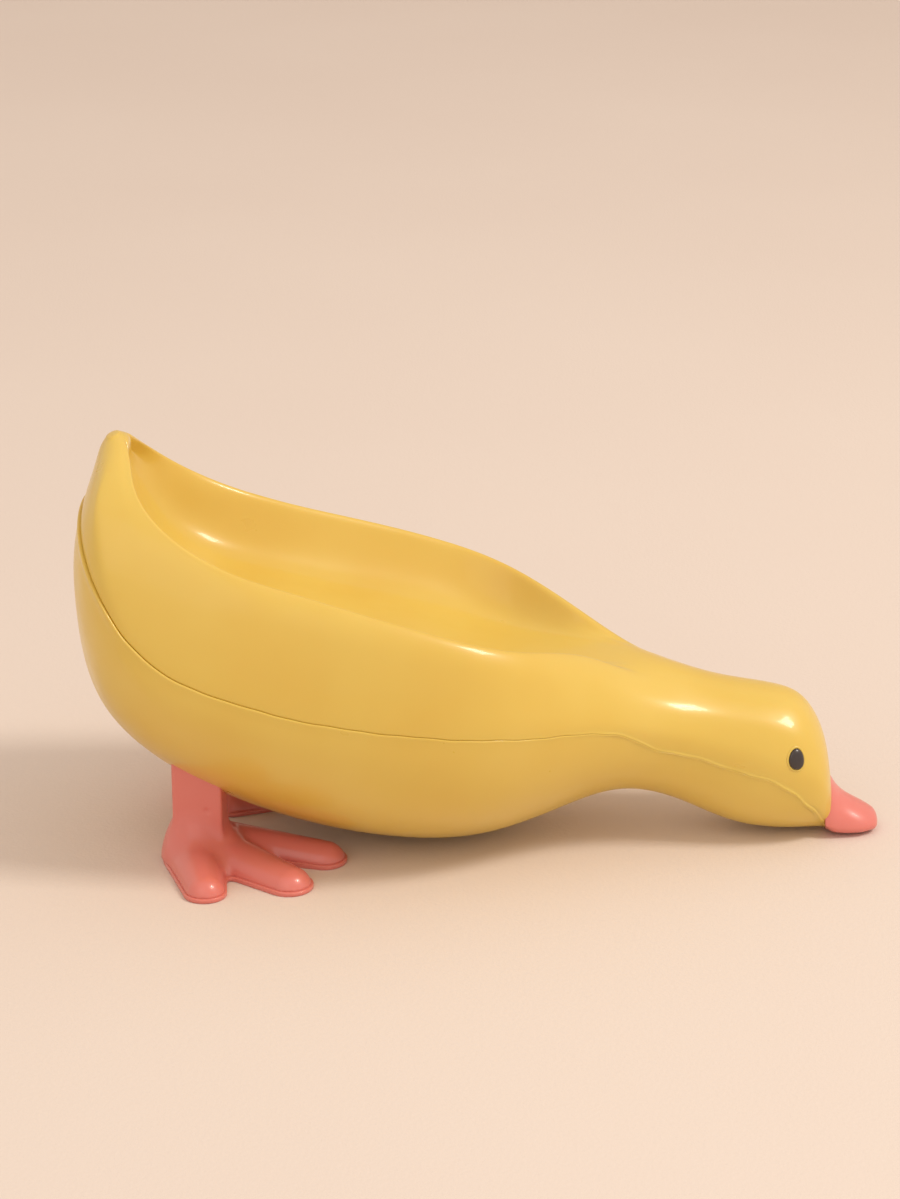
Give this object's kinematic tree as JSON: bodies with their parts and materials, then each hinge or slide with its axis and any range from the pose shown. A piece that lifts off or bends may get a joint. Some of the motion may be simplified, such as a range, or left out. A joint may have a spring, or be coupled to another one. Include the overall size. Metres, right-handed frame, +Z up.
{
  "type": "soap dish",
  "caption": "Duck-shaped soap dish of glossy moulded plastic, head bowed to the table, with a dish scooped into its back, standing on webbed feet.",
  "frame": {"origin": "on the table, in the middle of the overall length and width", "axes": "+X towards the beak, +Y the duck's left, +Z up"},
  "size_m": [0.2031, 0.0932, 0.1058],
  "materials": {
    "body_plastic": "glossy moulded yellow",
    "pink_plastic": "glossy moulded coral pink",
    "eye_plastic": "glossy dark brown"
  },
  "bodies": {
    "root": {"upper_shell": "body_plastic", "lower_shell": "body_plastic", "beak": "pink_plastic", "eye_left": "eye_plastic", "eye_right": "eye_plastic", "leg_left": "pink_plastic", "leg_right": "pink_plastic", "sole_left": "pink_plastic", "sole_right": "pink_plastic"}
  },
  "joints": []
}
